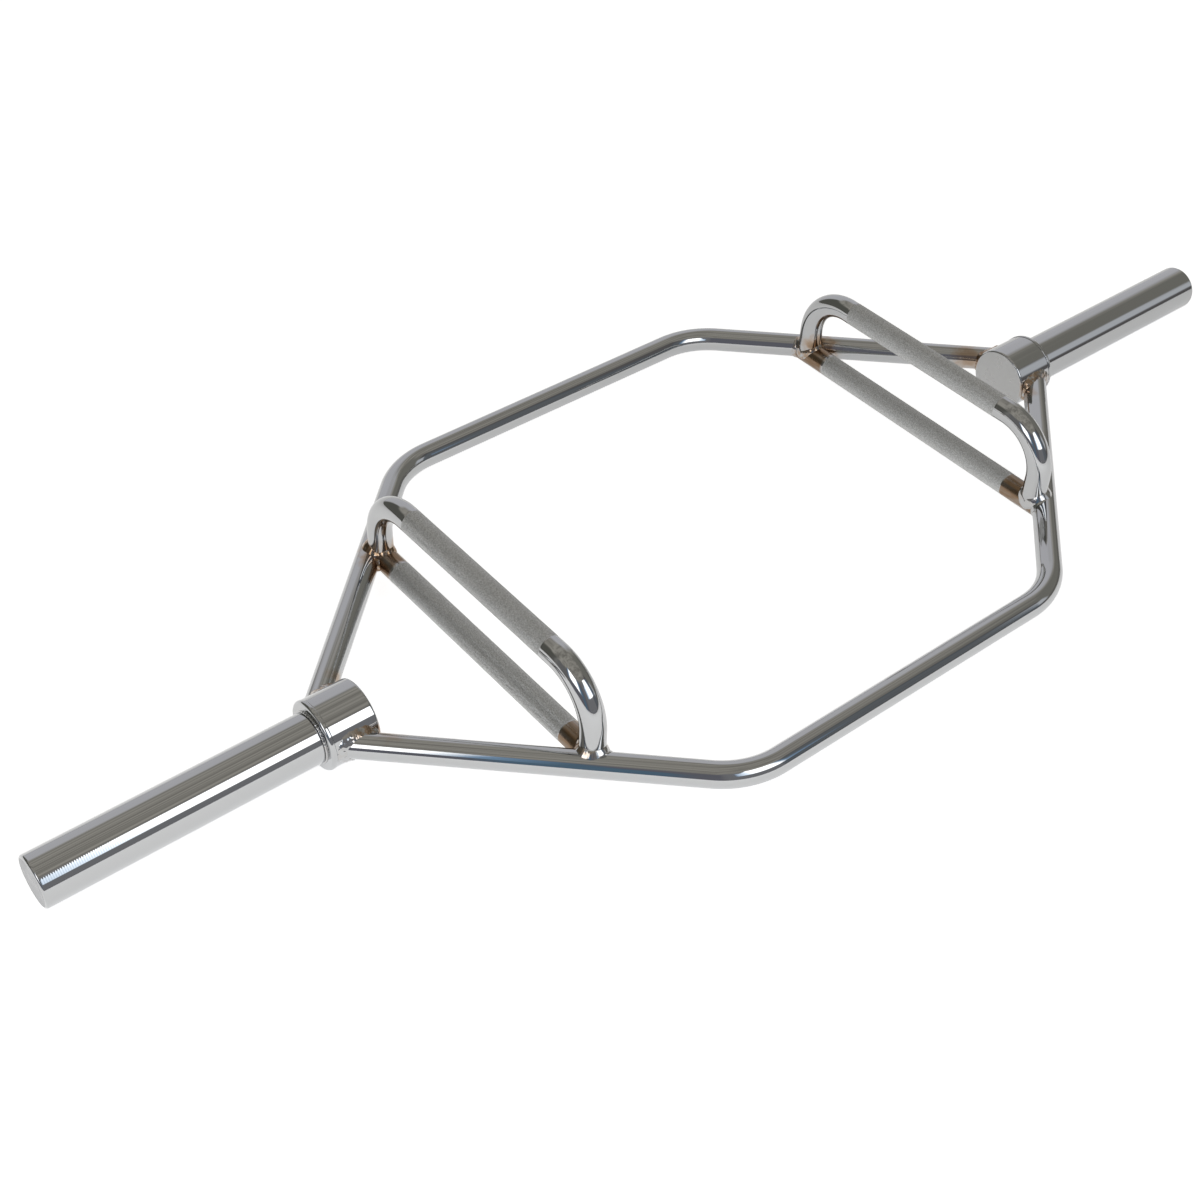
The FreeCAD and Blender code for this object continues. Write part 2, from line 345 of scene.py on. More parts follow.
def turningGroup():
    # fine rings left by the lathe, round the sleeve axis
    inputs = {"Vector": None, "Rings": 0.001, "Wave": 0.01}
    group, given, result = newGroup("turningRings", inputs, ["Height", "Gloss"])
    rings = streaks(group, given["Vector"], turningLook["rings"], 1.0)
    slow = streaks(group, given["Vector"], turningLook["waves"], 1.0)
    group.links.new(weighted(group, rings, given["Rings"], slow, given["Wave"]), result["Height"])
    group.links.new(fade(group, slow, *turningLook["spread"], *turningLook["gloss"]), result["Gloss"])
    return group


heatLook = {
    "patches": 110.0, "patchSpread": (0.25, 0.75), "ragged": (-0.16, 0.16), "fringe": (1.05, 0.1),
    "copperSpan": (0.0, 0.7), "brownSpan": (0.4, 1.0),
}


def heatGroup():
    # brown heat stain round one welded joint
    inputs = {"Vector": None, "Centre": None, "Reach": 0.03, "Strength": 1.0}
    group, given, result = newGroup("heatStain", inputs, ["Mask"])
    pair = {0: given["Vector"], 1: given["Centre"]}
    gap = addNode(group, "ShaderNodeVectorMath", pair, operation="DISTANCE").outputs["Value"]
    share = calc(group, "DIVIDE", gap, given["Reach"])
    patchy = grain(group, given["Vector"], heatLook["patches"])
    share = calc(group, "ADD", share, fade(group, patchy, *heatLook["patchSpread"], *heatLook["ragged"]))
    mask = calc(group, "MULTIPLY", fade(group, share, *heatLook["fringe"]), given["Strength"])
    group.links.new(mask, result["Mask"])
    return group


facedLook = {
    "clouds": 60.0, "cloudSpread": (0.3, 0.7), "gloss": (0.26, 0.38),
    "scratches": (1, 1300, 60), "scratchDepth": 0.004,
}


def facingGroup():
    # clouding and fine scratches on a faced end
    group, given, result = newGroup("facedEnd", {"Vector": None}, ["Cloud", "Gloss", "Height"])
    cloud = grain(group, given["Vector"], facedLook["clouds"], 4.0, 0.6)
    scratch = streaks(group, given["Vector"], facedLook["scratches"], 2.0)
    group.links.new(cloud, result["Cloud"])
    group.links.new(fade(group, cloud, *facedLook["cloudSpread"], *facedLook["gloss"]), result["Gloss"])
    group.links.new(calc(group, "MULTIPLY", scratch, facedLook["scratchDepth"]), result["Height"])
    return group


barPolish, turningRings, heatStain, facedEnd = polishGroup(), turningGroup(), heatGroup(), facingGroup()


def newFinish(name):
    material = bpy.data.materials.new(name)
    material.use_nodes = True
    tree = material.node_tree
    shader = tree.nodes["Principled BSDF"]
    shader.inputs["Metallic"].default_value = 1.0
    shader.inputs["Base Color"].default_value = finish["chrome"]
    return material, tree, shader


def useGroup(tree, group, **inputs):
    return addNode(tree, "ShaderNodeGroup", inputs, node_tree=group).outputs


def dress(tree, shader, rough, height, color=None):
    tree.links.new(rough, shader.inputs["Roughness"])
    bump = addNode(tree, "ShaderNodeBump", {"Height": height, "Distance": millimetre, "Strength": 1.0})
    tree.links.new(bump.outputs["Normal"], shader.inputs["Normal"])
    if color is not None:
        tree.links.new(color, shader.inputs["Base Color"])


def heatColor(tree, mask, copperSpan, brownSpan):
    # copper at the fringe of a stain and brown inside
    color = mixColor(tree, fade(tree, mask, *copperSpan), finish["chrome"], finish["copper"])
    return mixColor(tree, fade(tree, mask, *brownSpan), color, finish["stain"])


def stainedColor(tree, spot, stains):
    # where stains meet, the strongest shows
    mask = None
    for centre, reach, strength in stains:
        one = useGroup(tree, heatStain, Vector=spot, Centre=centre, Reach=reach, Strength=strength)["Mask"]
        mask = one if mask is None else calc(tree, "MAXIMUM", mask, one)
    return heatColor(tree, mask, heatLook["copperSpan"], heatLook["brownSpan"])


def onBar(side, end, inward, towardHub, up=0.0):
    # a spot beside a grip's joint on the sloping bar
    x = layout["gripX"] - inward * sin(slopeAngle) + towardHub * cos(slopeAngle)
    y = layout["gripEndY"] - inward * cos(slopeAngle) - towardHub * sin(slopeAngle)
    return (side * x, end * y, layout["axisHeight"] + up)


def atHub(side, end, x, y, up=0.006):
    return (side * x, end * y, layout["axisHeight"] + up)


# stains: place, reach and strength
frameStains = [
    (onBar(-1, 1, 0.030, 0.020, 0.006), 0.046, 1.0),
    (onBar(1, 1, 0.016, 0.022, 0.010), 0.034, 0.8),
    (onBar(-1, -1, 0.016, 0.010, 0.008), 0.022, 0.45),
    (onBar(1, -1, 0.016, 0.004), 0.018, 0.25),
    (atHub(-1, -1, 0.420, 0.044), 0.024, 0.45),
    (atHub(-1, 1, 0.420, 0.044), 0.015, 0.5),
    (atHub(1, 1, 0.420, 0.044), 0.028, 0.6),
    (atHub(1, -1, 0.420, 0.044), 0.018, 0.5),
]
gripStains = [
    (onBar(-1, 1, 0.016, 0.008, 0.010), 0.027, 1.0),
    (onBar(1, 1, 0.017, 0.021, 0.014), 0.026, 0.9),
    (onBar(-1, -1, 0.014, 0.012, 0.010), 0.016, 0.5),
    (onBar(1, -1, 0.014, 0.012, 0.008), 0.014, 0.3),
]
hubStains = [(atHub(s, e, 0.426, 0.036), 0.015, 0.55) for s in sides.values() for e in ends.values()]
barMarks = {"Wave": 0.02, "Lines": 0.010}


def frameFinish():
    material, tree, shader = newFinish("frameChrome")
    marks = useGroup(tree, barPolish, Vector=painted(tree, "lay", "Vector"), **barMarks)
    color = stainedColor(tree, objectSpot(tree), frameStains)
    dress(tree, shader, marks["Gloss"], marks["Height"], color)
    return material


gripLook = {
    "clouds": (25, 160, 160), "cloudSpread": (0.3, 0.6), "cloudShade": (0.55, 1.0), "burntRoughness": 0.24,
    # the specks spread the knurl's painted glints and painted shade
    "glintSpecks": 900.0, "glintSpeckSpread": (0.3, 0.7), "knurlRoughness": 0.46,
}


def gripFinish():
    material, tree, shader = newFinish("gripChrome")
    lay, cut = painted(tree, "lay", "Vector"), painted(tree, "knurl")
    marks = useGroup(tree, barPolish, Vector=lay, **barMarks)
    color = stainedColor(tree, objectSpot(tree), gripStains)
    cloud = streaks(tree, lay, gripLook["clouds"], 3.0, 0.6)
    patchy = fade(tree, cloud, *gripLook["cloudSpread"], *gripLook["cloudShade"])
    brown = calc(tree, "MULTIPLY", painted(tree, "burnt"), patchy)
    color = mixColor(tree, brown, color, finish["stain"])
    # painted glints and painted shade: light and dark specks on the knurl's points stand in for the sparkle
    # of its facets
    glintSpeck = fade(tree, grain(tree, lay, gripLook["glintSpecks"], 2.0, 0.6), *gripLook["glintSpeckSpread"])
    points = mixColor(tree, glintSpeck, finish["knurlPaintedShade"], finish["knurlPaintedGlint"])
    color = mixColor(tree, cut, color, points)
    burntRough = calc(tree, "MULTIPLY", brown, gripLook["burntRoughness"])
    dull = calc(tree, "MAXIMUM", marks["Gloss"], burntRough)
    rough = mixValue(tree, cut, dull, gripLook["knurlRoughness"])
    dress(tree, shader, rough, marks["Height"], color)
    return material


def hubFinish():
    material, tree, shader = newFinish("hubChrome")
    spot = objectSpot(tree)
    marks = useGroup(tree, turningRings, Vector=spot, Rings=0.0005, Wave=0.03)
    dress(tree, shader, marks["Gloss"], marks["Height"], stainedColor(tree, spot, hubStains))
    return material


def facedFinish(name, dark, light):
    material, tree, shader = newFinish(name)
    marks = useGroup(tree, facedEnd, Vector=objectSpot(tree))
    dress(tree, shader, marks["Gloss"], marks["Height"], mixColor(tree, marks["Cloud"], dark, light))
    return material


sleeveLook = {"combPitch": 0.0021, "combSpan": (0.61, 0.70), "combDepth": 0.0045}


def sleeveFinish():
    # a comb of tool marks shows towards the sleeve's outer end
    material, tree, shader = newFinish("sleeveChrome")
    spot = objectSpot(tree)
    marks = useGroup(tree, turningRings, Vector=spot, Rings=0.0008, Wave=0.015)
    x = axes(tree, spot)["X"]
    comb = calc(tree, "SINE", calc(tree, "MULTIPLY", x, 2 * pi / sleeveLook["combPitch"]))
    near = fade(tree, calc(tree, "ABSOLUTE", x), *sleeveLook["combSpan"])
    ridges = calc(tree, "MULTIPLY", calc(tree, "MULTIPLY", comb, near), sleeveLook["combDepth"])
    dress(tree, shader, marks["Gloss"], calc(tree, "ADD", marks["Height"], ridges))
    return material


weldLook = {
    "clouds": 210.0, "cloudSpread": (0.32, 0.6), "cloudShade": (0.1, 1.0),
    "copperSpan": (0.0, 0.5), "brownSpan": (0.3, 0.9),
    "glossSpread": (0.3, 0.7), "gloss": (0.05, 0.16), "pits": 900.0, "pitDepth": 0.02,
}


def weldFinish():
    material, tree, shader = newFinish("weldBead")
    spot = objectSpot(tree)
    cloud = grain(tree, spot, weldLook["clouds"], 3.0, 0.6)
    patchy = fade(tree, cloud, *weldLook["cloudSpread"], *weldLook["cloudShade"])
    mask = calc(tree, "MULTIPLY", painted(tree, "burnt"), patchy)
    color = heatColor(tree, mask, weldLook["copperSpan"], weldLook["brownSpan"])
    rough = fade(tree, cloud, *weldLook["glossSpread"], *weldLook["gloss"])
    pits = grain(tree, spot, weldLook["pits"], 3.0, 0.6)
    dress(tree, shader, rough, calc(tree, "MULTIPLY", pits, weldLook["pitDepth"]), color)
    return material


frameChrome, gripChrome, hubChrome = frameFinish(), gripFinish(), hubFinish()
sleeveChrome, weldBead = sleeveFinish(), weldFinish()
hubFaceSatin = facedFinish("hubFaceSatin", finish["faceDark"], finish["faceLight"])
# the sleeve ends and plugs are satin, darkened with painted shade
endFaceShadedSatin = facedFinish("endFaceShadedSatin", finish["endShadeDark"], finish["endShadeLight"])
print("finishes ready")


# every finished piece goes through here, smooth all over unless it says which faces are
def addPiece(name, bm, materials, nodes, isSmooth=None):
    for face in bm.faces:
        face.smooth = isSmooth is None or isSmooth(face)
    piece = meshObject(name, bm, materials)
    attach(piece, "root")
    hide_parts(*nodes)


def addRing(bm, segments, radius, place):
    verts = bmesh.ops.create_circle(bm, segments=segments, radius=radius, matrix=place)["verts"]
    return verts, list({e for v in verts for e in v.link_edges})


# bars: a ring of vertices drawn along straight runs and turned round bends
class BarMaker:
    def __init__(self, start, toward, planeNormal, radius, segments):
        self.bm = bmesh.new()
        self.lay = self.bm.verts.layers.float_vector.new("lay")
        self.knurl = self.bm.verts.layers.float.new("knurl")
        self.burnt = self.bm.verts.layers.float.new("burnt")
        self.normal, self.radius, self.segments = planeNormal.normalized(), radius, segments
        self.centre, self.tangent, self.along = start.copy(), toward.normalized(), 0.0
        side = self.normal.cross(self.tangent)
        place = Matrix((side, self.normal, self.tangent)).transposed().to_4x4()
        place.translation = start
        self.verts, self.edges = addRing(self.bm, segments, radius, place)
        bmesh.ops.contextual_create(self.bm, geom=self.edges)
        self.mark()

    def mark(self, knurl=0.0, burnt=0.0):
        side = self.normal.cross(self.tangent)
        for v in self.verts:
            arm = v.co - self.centre
            turn = atan2(arm.dot(self.normal), arm.dot(side))
            v[self.lay] = Vector((self.along, self.radius * cos(turn), self.radius * sin(turn)))
            v[self.knurl] = knurl
            v[self.burnt] = burnt

    def grow(self):
        made = bmesh.ops.extrude_edge_only(self.bm, edges=self.edges)["geom"]
        self.verts = [g for g in made if isinstance(g, bmesh.types.BMVert)]
        fresh = set(self.verts)
        self.edges = [g for g in made if isinstance(g, bmesh.types.BMEdge) and fresh.issuperset(g.verts)]

    def run(self, length, steps, **marks):
        step = self.tangent * (length / steps)
        for _ in range(steps):
            self.grow()
            bmesh.ops.translate(self.bm, verts=self.verts, vec=step)
            self.centre = self.centre + step
            self.along += length / steps
            self.mark(**marks)

    def bend(self, angle, bendRadius, steps):
        inward = self.normal.cross(self.tangent) * (1 if angle > 0 else -1)
        pivot = self.centre + inward * bendRadius
        turn = Matrix.Rotation(angle / steps, 3, self.normal)
        for _ in range(steps):
            self.grow()
            bmesh.ops.rotate(self.bm, cent=pivot, matrix=turn, verts=self.verts)
            self.centre = pivot + turn @ (self.centre - pivot)
            self.tangent = turn @ self.tangent
            self.along += abs(angle) / steps * bendRadius
            self.mark()

    def widen(self, verts, radius, axisPoint):
        # moves vertices of a straight run to another distance from its axis, which lies along Y
        scale = radius / self.radius
        bmesh.ops.scale(self.bm, vec=(scale, 1, scale), space=Matrix.Translation(-axisPoint), verts=verts)

    def onKnurl(self, v):
        return v[self.knurl] > 0.5

    def isPlain(self, face):
        return not all(self.onKnurl(v) for v in face.verts)

    def close(self):
        bmesh.ops.contextual_create(self.bm, geom=self.edges)
        bmesh.ops.recalc_face_normals(self.bm, faces=self.bm.faces)
        return self.bm


# hexagon: two bent bars
frameBar = {
    "radius": 0.0127, "bendRadius": 0.085, "buried": 0.01725,
    "segments": 96, "bendSteps": 28, "runStep": 0.012,
}


def buildFrameBar(endName, end):
    startX = layout["hubMiddleX"] + frameBar["buried"] * cos(slopeAngle)
    startY = layout["hubRadius"] - frameBar["buried"] * sin(slopeAngle)
    start = Vector((-startX, end * startY, layout["axisHeight"]))
    corner = Vector((-layout["cornerX"], end * layout["cornerY"], layout["axisHeight"]))
    cut = frameBar["bendRadius"] * tan(slopeAngle / 2)
    maker = BarMaker(start, corner - start, Vector((0, 0, 1)), frameBar["radius"], frameBar["segments"])
    sloping = (corner - start).length - cut
    middle = 2 * (layout["cornerX"] - cut)
    maker.run(sloping, round(sloping / frameBar["runStep"]))
    maker.bend(-end * slopeAngle, frameBar["bendRadius"], frameBar["bendSteps"])
    maker.run(middle, round(middle / frameBar["runStep"]))
    maker.bend(-end * slopeAngle, frameBar["bendRadius"], frameBar["bendSteps"])
    maker.run(sloping, round(sloping / frameBar["runStep"]))
    addPiece(f"{endName}_bent_bar", maker.close(), [frameChrome], [f"{endName}_frame_bar"])


for endName, end in ends.items():
    buildFrameBar(endName, end)
print("hexagon bent")


# grips: knurled with crossed grooves, so that every second vertex stands up as a point
knurlCut = {"point": 0.00005, "groove": 0.0002, "pitch": 0.00082, "edge": 0.0004}
micronsPerMetre = 1e6  # the knurl's rings are told apart to a micron


def runKnurl(maker, length):
    maker.run(knurlCut["edge"], 1)
    maker.run(length, round(length / knurlCut["pitch"]), knurl=1.0)
    maker.run(knurlCut["edge"], 1)


def cutKnurl(maker, axisPoint):
    rings, points, grooves = {}, [], []
    step = 2 * pi / maker.segments
    for v in filter(maker.onKnurl, maker.bm.verts):
        rings.setdefault(round(v[maker.lay].x * micronsPerMetre), []).append(v)
    for count, key in enumerate(sorted(rings)):
        for v in rings[key]:
            place = round(atan2(v[maker.lay].z, v[maker.lay].y) / step)
            (points if (count + place) % 2 else grooves).append(v)
    maker.widen(points, maker.radius + knurlCut["point"], axisPoint)
    maker.widen(grooves, maker.radius - knurlCut["groove"], axisPoint)
    cut = [f for f in maker.bm.faces if len(f.verts) == 4 and not maker.isPlain(f)]
    bmesh.ops.triangulate(maker.bm, faces=cut, quad_method="SHORT_EDGE", ngon_method="BEAUTY")


lowGrip = {"radius": 0.0125, "segments": 96, "knurlHalf": 0.133, "bareStep": 0.004}


def buildLowGrip(sideName, side):
    axis = Vector((side * layout["gripX"], 0, layout["axisHeight"]))
    start = axis - Vector((0, layout["gripEndY"], 0))
    bare = layout["gripEndY"] - lowGrip["knurlHalf"]
    bareSteps = round(bare / lowGrip["bareStep"])
    maker = BarMaker(start, Vector((0, 1, 0)), Vector((0, 0, 1)), lowGrip["radius"], lowGrip["segments"])
    maker.mark(burnt=1.0)
    maker.run(bare - knurlCut["edge"], bareSteps, burnt=1.0)
    runKnurl(maker, 2 * lowGrip["knurlHalf"])
    maker.run(bare - knurlCut["edge"], bareSteps, burnt=1.0)
    cutKnurl(maker, axis)
    bm, node = maker.close(), f"{sideName}_low_handle"
    addPiece(f"{sideName}_low_grip", bm, [gripChrome], [node], maker.isPlain)


raisedGrip = {
    "radius": 0.0125, "height": 0.083, "bendRadius": 0.052, "knurlHalf": 0.106,
    "segments": 96, "bendSteps": 40, "legStep": 0.004, "bareSteps": 3,
}


def buildRaisedGrip(sideName, side):
    x, legY, low = side * layout["gripX"], layout["legY"], layout["axisHeight"]
    bendRadius, knurlHalf, bareSteps = (raisedGrip[k] for k in ("bendRadius", "knurlHalf", "bareSteps"))
    leg = raisedGrip["height"] - bendRadius
    legSteps = round(leg / raisedGrip["legStep"])
    bare = legY - bendRadius - knurlHalf
    foot, upward, level = Vector((x, -legY, low)), Vector((0, 0, 1)), Vector((-1, 0, 0))
    maker = BarMaker(foot, upward, level, raisedGrip["radius"], raisedGrip["segments"])
    maker.run(leg, legSteps)
    maker.bend(pi / 2, bendRadius, raisedGrip["bendSteps"])
    maker.run(bare, bareSteps)
    runKnurl(maker, 2 * knurlHalf)
    maker.run(bare - 2 * knurlCut["edge"], bareSteps)
    maker.bend(pi / 2, bendRadius, raisedGrip["bendSteps"])
    maker.run(leg, legSteps)
    cutKnurl(maker, Vector((x, 0, low + raisedGrip["height"])))
    bm, node = maker.close(), f"{sideName}_raised_handle"
    addPiece(f"{sideName}_raised_grip", bm, [gripChrome], [node], maker.isPlain)


for sideName, side in sides.items():
    buildLowGrip(sideName, side)
    buildRaisedGrip(sideName, side)
print("grips knurled")


# turned pieces: a profile spun round the sleeve axis
# a point is (distance from the middle, radius), then its rounding and the rounding's segments
keepRing = 0.0005  # rings this close beside a rounding keep the long faces straight
tiny, mergeGap, sliver = 1e-5, 1e-6, 1e-7
flatLimit = 0.999  # a face whose normal is nearer the axis than this is an end face


def onCircle(v, x, r):
    reach = hypot(v.co.y, v.co.z - layout["axisHeight"])
    return abs(abs(v.co.x) - x) < tiny and abs(reach - r) < tiny


def spun(profile, side, steps, closed=False):
    corners = [Vector(point[:2]) for point in profile]
    line = []
    for place, point in enumerate(profile):
        corner, before, after = corners[place], corners[place - 1], corners[(place + 1) % len(corners)]
        reach = point[2] + keepRing if len(point) > 2 else 0
        if reach and (before - corner).length > reach:
            line.append(corner + (before - corner).normalized() * reach)
        line.append(corner)
        if reach and (after - corner).length > reach:
            line.append(corner + (after - corner).normalized() * reach)
    bm = bmesh.new()
    verts = [bm.verts.new((side * x, 0, layout["axisHeight"] + r)) for x, r in line]
    edges = [bm.edges.new(pair) for pair in zip(verts, verts[1:])]
    if closed:
        edges.append(bm.edges.new((verts[-1], verts[0])))
    axis = Vector((0, 0, layout["axisHeight"]))
    bmesh.ops.spin(bm, geom=verts + edges, cent=axis, axis=(1, 0, 0),
                   angle=2 * pi, steps=steps, use_merge=True)
    bmesh.ops.remove_doubles(bm, verts=bm.verts, dist=mergeGap)
    bmesh.ops.dissolve_degenerate(bm, dist=sliver, edges=bm.edges)
    bmesh.ops.recalc_face_normals(bm, faces=bm.faces)
    for x, r, size, segments in (point for point in profile if len(point) > 2):
        ring = [e for e in bm.edges if all(onCircle(v, x, r) for v in e.verts)]
        bmesh.ops.bevel(bm, geom=ring, offset=size, segments=segments, profile=0.5,
                        affect="EDGES", material=-1, clamp_overlap=True)
    return bm


def isTurned(face):
    # end faces stay flat, and everything turned is smooth
    return abs(face.normal.x) < flatLimit


def satinEnd(bm, x):
    # the end face at this distance takes the piece's second finish
    for face in bm.faces:
        face.material_index = 1 if abs(abs(face.calc_center_median().x) - x) < tiny else 0


hubTurning = {
    "inner": 0.423, "outer": 0.469, "radius": 0.034, "innerRound": 0.0022, "seam": 0.0004,
    "spigotRadius": 0.0199, "spigotEnd": 0.506, "steps": 192, "weldClear": 0.0012,
}


def buildHub(sideName, side):
    h = hubTurning
    profile = [
        (h["inner"], 0), (h["inner"], h["radius"], h["innerRound"], 7),
        (h["outer"], h["radius"], h["seam"], 2), (h["outer"], h["spigotRadius"]),
        (h["spigotEnd"], h["spigotRadius"]), (h["spigotEnd"], 0),
    ]
    bm = spun(profile, side, h["steps"])
    satinEnd(bm, h["inner"])
    finishes = [hubChrome, hubFaceSatin]
    addPiece(f"{sideName}_turned_hub", bm, finishes, [f"{sideName}_hub"], isTurned)


collarTurning = {
    "inner": 0.469, "outer": 0.474, "radius": 0.0345, "bore": 0.0246,
    "round": 0.003, "seam": 0.0004, "steps": 192,
}


def buildCollar(sideName, side):
    c = collarTurning
    profile = [
        (c["inner"], c["bore"]), (c["inner"], c["radius"], c["seam"], 2),
        (c["outer"], c["radius"], c["round"], 8), (c["outer"], c["bore"]),
    ]
    bm = spun(profile, side, c["steps"], True)
    addPiece(f"{sideName}_stop_ring", bm, [hubChrome], [f"{sideName}_stop_collar"], isTurned)


sleeveTurning = {
    "start": 0.469, "seatEnd": 0.476, "end": 0.740, "seatRadius": 0.0245, "radius": 0.025,
    "bore": 0.020, "endRound": 0.0025, "shoulder": 0.0002, "steps": 192,
}


def buildSleeve(sideName, side):
    s = sleeveTurning
    profile = [
        (s["start"], s["bore"]), (s["start"], s["seatRadius"]), (s["seatEnd"], s["seatRadius"]),
        (s["seatEnd"], s["radius"], s["shoulder"], 2), (s["end"], s["radius"], s["endRound"], 8),
        (s["end"], s["bore"]),
    ]
    bm = spun(profile, side, s["steps"], True)
    satinEnd(bm, s["end"])
    finishes = [sleeveChrome, endFaceShadedSatin]
    addPiece(f"{sideName}_plate_sleeve", bm, finishes, [f"{sideName}_sleeve"], isTurned)


plugTurning = {"start": 0.730, "end": 0.740, "radius": 0.0199, "edge": 0.00015, "steps": 128}


def buildPlug(sideName, side):
    p = plugTurning
    profile = [
        (p["start"], 0), (p["start"], p["radius"]),
        (p["end"], p["radius"], p["edge"], 2), (p["end"], 0),
    ]
    bm = spun(profile, side, p["steps"])
    node = f"{sideName}_sleeve_end_plug"
    addPiece(f"{sideName}_end_plug", bm, [endFaceShadedSatin], [node], isTurned)


for sideName, side in sides.items():
    buildHub(sideName, side)
    buildCollar(sideName, side)
    buildSleeve(sideName, side)
    buildPlug(sideName, side)
print("hubs, rings, sleeves and plugs turned")


# welds: rings set along each seam line and bridged, thicker at every ripple and in tight corners
bead = {
    "rings": 180, "segments": 24, "melt": 9, "rippleLength": 0.0030, "rippleMiddle": 0.6,
    "fillBase": 2.26, "fillDrop": 0.89, "fillMost": 1.3,
}
footBead = {
    "thick": 0.0034, "wide": 0.0098, "lift": 0.05, "ripple": 0.015,
    "lump": 0.16, "lumpSize": 0.011, "knobs": 0.0003, "knobSize": 0.006,
}
lowBead = {
    "thick": 0.0024, "wide": 0.0066, "lift": 0.0, "ripple": 0.02,
    "lump": 0.12, "lumpSize": 0.011, "knobs": 0.0002, "knobSize": 0.006,
}
hubBead = {
    "thick": 0.0036, "wide": 0.0095, "lift": 0.1, "ripple": 0.04,
    "lump": 0.16, "lumpSize": 0.006, "knobs": 0.0011, "knobSize": 0.0034,
    "behind": hubTurning["inner"] + hubTurning["weldClear"], "squeeze": 0.0045,
}


def barStart(side, end):
    # where the sloping bar's axis meets the hub
    return Vector((side * layout["hubMiddleX"], end * layout["hubRadius"], layout["axisHeight"]))


def barAcross(side, end):
    # the level direction across the sloping bar, towards the middle
    return Vector((-side * sin(slopeAngle), -end * cos(slopeAngle), 0))


def hubSeam(side, end, turn):
    start = barStart(side, end)
    run = Vector((-side * cos(slopeAngle), end * sin(slopeAngle), 0))
    level, rise = frameBar["radius"] * sin(turn), frameBar["radius"] * cos(turn)
    arm = barAcross(side, end) * level + Vector((0, 0, rise))
    y = end * (layout["hubRadius"] ** 2 - arm.z ** 2) ** 0.5
    spot = start + arm + run * ((y - start.y - arm.y) / run.y)
    outward = Vector((0, spot.y, spot.z - layout["axisHeight"]))
    return spot, arm.normalized() + outward.normalized()


def lowSeam(side, end, turn):
    start, across, radius = barStart(side, end), barAcross(side, end), lowGrip["radius"]
    out = Vector((cos(turn), 0, sin(turn)))
    x, z = side * layout["gripX"] + radius * out.x, radius * out.z
    gap = max(frameBar["radius"] ** 2 - z ** 2, 0) ** 0.5
    y = start.y + (gap - (x - start.x) * across.x) / across.y
    spot = Vector((x, y, layout["axisHeight"] + z))
    return spot, out + (across * gap + Vector((0, 0, z))).normalized()


def footSeam(side, end, turn):
    start, across, radius = barStart(side, end), barAcross(side, end), raisedGrip["radius"]
    out = Vector((cos(turn), sin(turn), 0))
    foot = Vector((side * layout["gripX"], end * layout["legY"], layout["axisHeight"]))
    spot = foot + out * radius
    gap = (spot - start).dot(across)
    barRise = max(frameBar["radius"] ** 2 - gap ** 2, 0) ** 0.5
    overGrip = abs(spot.y) < layout["gripEndY"]
    gripRise = max(radius ** 2 - (radius * out.x) ** 2, 0) ** 0.5 if overGrip else 0
    rise = Vector((0, 0, max(barRise, gripRise)))
    below = across * gap if barRise > gripRise else Vector((radius * out.x, 0, 0))
    return spot + rise, out + (below + rise).normalized()


def melted(vectors):
    # evens a ring of vectors out over their neighbours
    near, count = range(-bead["melt"], bead["melt"] + 1), len(vectors)
    return [sum((vectors[(i + k) % count] for k in near), Vector()) / len(near) for i in range(count)]


def heldBack(x, form):
    # squeezes the edge of a bead so that it stays behind the hub's inner face
    behind, squeeze = form["behind"], form["squeeze"]
    return behind + squeeze * exp((x - behind) / squeeze - 1) if x - behind < squeeze else x


def buildBead(name, node, seamLine, form, tint, inside):
    path, opening = (melted(vectors) for vectors in zip(*seamLine))
    bm = bmesh.new()
    loops, along = [], 0.0
    for i, spot in enumerate(path):
        following = path[(i + 1) % len(path)]
        ahead = (following - path[i - 1]).normalized()
        out = (opening[i] - ahead * opening[i].dot(ahead)).normalized()
        ripple = abs(sin(pi * along / bead["rippleLength"])) - bead["rippleMiddle"]
        lump = noise.noise(spot / form["lumpSize"])
        inward = max(0.0, -out.y if spot.y > 0 else out.y)
        fill = min(bead["fillBase"] - bead["fillDrop"] * opening[i].length, bead["fillMost"])
        size = fill * (1 + form["ripple"] * ripple + form["lump"] * lump) * (1 - (1 - inside) * inward)
        thick, wide = out * form["thick"] * size, ahead.cross(out) * form["wide"] * size
        place = Matrix((thick, wide, ahead)).transposed().to_4x4()
        place.translation = spot + out * form["thick"] * form["lift"]
        loops.append(addRing(bm, bead["segments"], 1.0, place)[1])
        along += (following - spot).length
    for first, second in zip(loops, loops[1:] + loops[:1]):
        bmesh.ops.bridge_loops(bm, edges=first + second)
    bmesh.ops.recalc_face_normals(bm, faces=bm.faces)
    bm.normal_update()
    burnt = bm.verts.layers.float.new("burnt")
    for v in bm.verts:
        v[burnt] = tint(v.co)
        v.co += v.normal * form["knobs"] * noise.noise(v.co / form["knobSize"])
        if "behind" in form:
            v.co.x = copysign(heldBack(abs(v.co.x), form), v.co.x)
    addPiece(name, bm, [weldBead], [node])


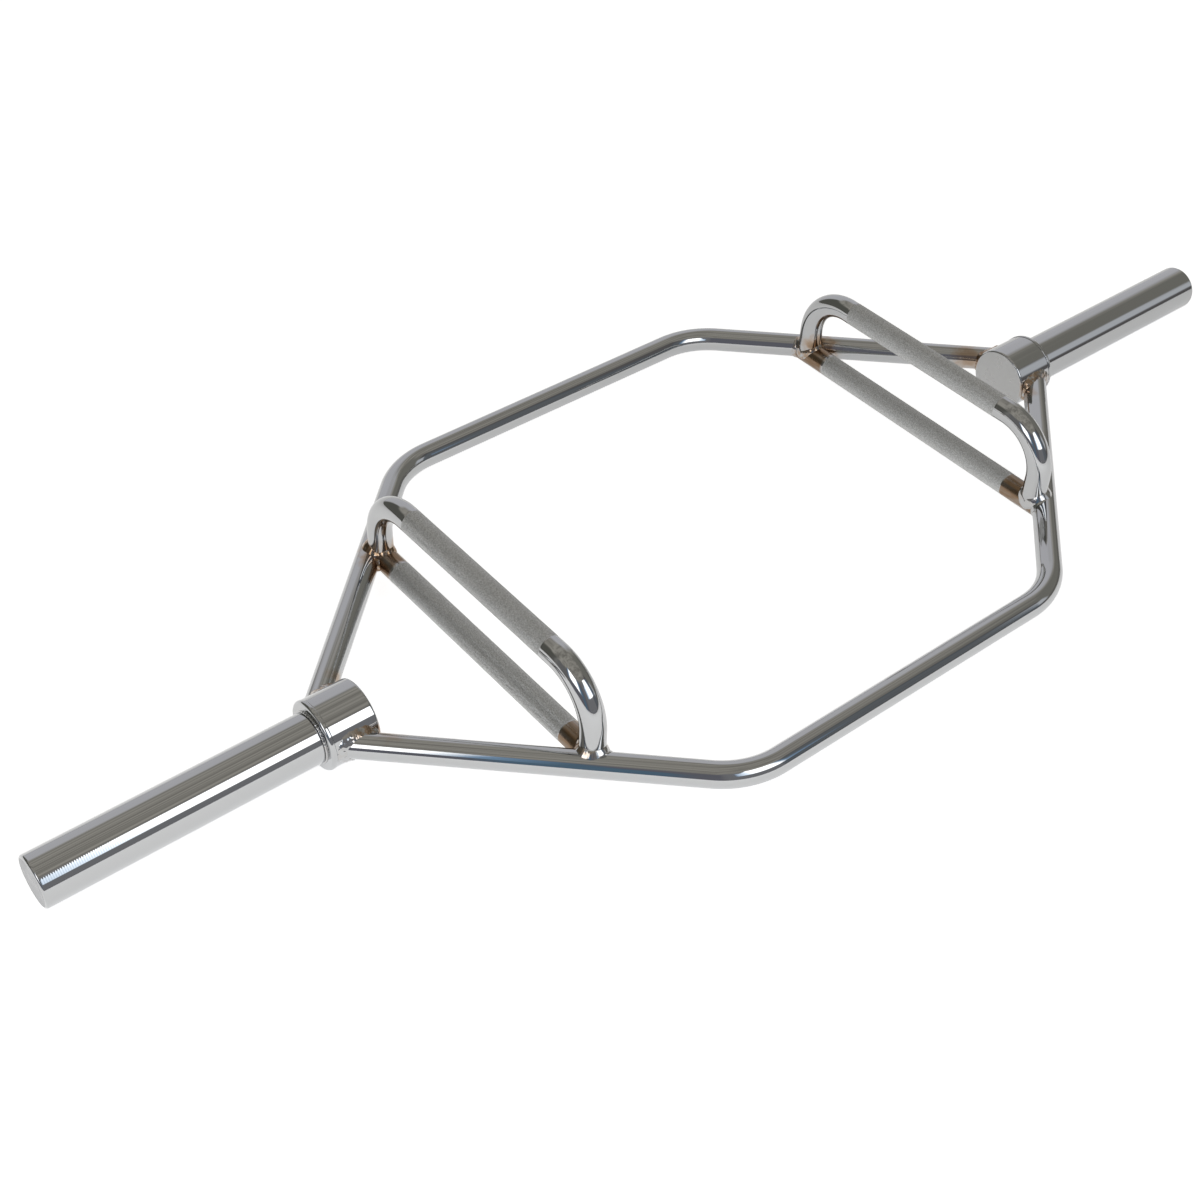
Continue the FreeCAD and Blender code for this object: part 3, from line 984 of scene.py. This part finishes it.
# where each joint was hottest, and how far the heat tint of its beads reaches
gripHeat = {"x": 0.302, "y": 0.158, "z": 0.046, "reach": 0.040}
hubHeat = {"x": 0.424, "y": 0.040, "z": 0.046, "reach": 0.034}
corners = {  # strongest and weakest tint at the grips and at the hub, and how full the foot's bead is inside
    ("left", "front"): {"grip": (0.6, 0.0), "hub": (1.0, 0.1), "inside": 0.6},
    ("left", "rear"): {"grip": (1.0, 0.8), "hub": (1.0, 0.2), "inside": 0.6},
    ("right", "front"): {"grip": (0.35, 0.0), "hub": (0.75, 0.3), "inside": 0.2},
    ("right", "rear"): {"grip": (1.0, 0.2), "hub": (1.0, 0.4), "inside": 0.5},
}


def tintFrom(heat, side, end, strongest, weakest):
    spot = Vector((side * heat["x"], end * heat["y"], heat["z"]))
    more = strongest - weakest
    return lambda point: weakest + more * max(0.0, 1 - (point - spot).length / heat["reach"])


def layWelds(sideName, side, endName, end):
    corner, place, count = corners[sideName, endName], f"{sideName}_{endName}", bead["rings"]
    gripTint = tintFrom(gripHeat, side, end, *corner["grip"])
    hubTint = tintFrom(hubHeat, side, end, *corner["hub"])
    beads = [
        ("hub_bead", "hub_weld", hubSeam, hubBead, hubTint, 1.0),
        ("foot_bead", "foot_weld", footSeam, footBead, gripTint, corner["inside"]),
        ("low_bead", "low_handle_weld", lowSeam, lowBead, gripTint, 1.0),
    ]
    for piece, node, seam, form, tint, inside in beads:
        seamLine = [seam(side, end, 2 * pi * i / count) for i in range(count)]
        buildBead(f"{place}_{piece}", f"{place}_{node}", seamLine, form, tint, inside)


for sideName, side in sides.items():
    for endName, end in ends.items():
        layWelds(sideName, side, endName, end)


ringBead = {
    "face": 0.474, "seat": 0.0245, "leg": 0.0016, "arcSteps": 4, "steps": 360,
    "ripple": 0.00012, "ripples": 46, "lumpSize": 0.006, "tint": 0.12,
}


def buildRingBead(sideName, side):
    b = ringBead
    turns = [pi / 2 * i / b["arcSteps"] for i in range(b["arcSteps"] + 1)]
    arc = [(b["face"] + b["leg"] * sin(a), b["seat"] + b["leg"] * cos(a)) for a in turns]
    bm = spun([(b["face"], b["seat"])] + arc, side, b["steps"], True)
    burnt = bm.verts.layers.float.new("burnt")
    bm.normal_update()
    for v in bm.verts:
        v[burnt] = b["tint"]
        if abs(v.co.x) > b["face"] + tiny:
            turn = atan2(v.co.y, v.co.z - layout["axisHeight"])
            v.co += v.normal * b["ripple"] * (sin(turn * b["ripples"]) + noise.noise(v.co / b["lumpSize"]))
    addPiece(f"{sideName}_ring_bead", bm, [weldBead], [f"{sideName}_collar_weld"])


for sideName, side in sides.items():
    buildRingBead(sideName, side)
print("welds laid")
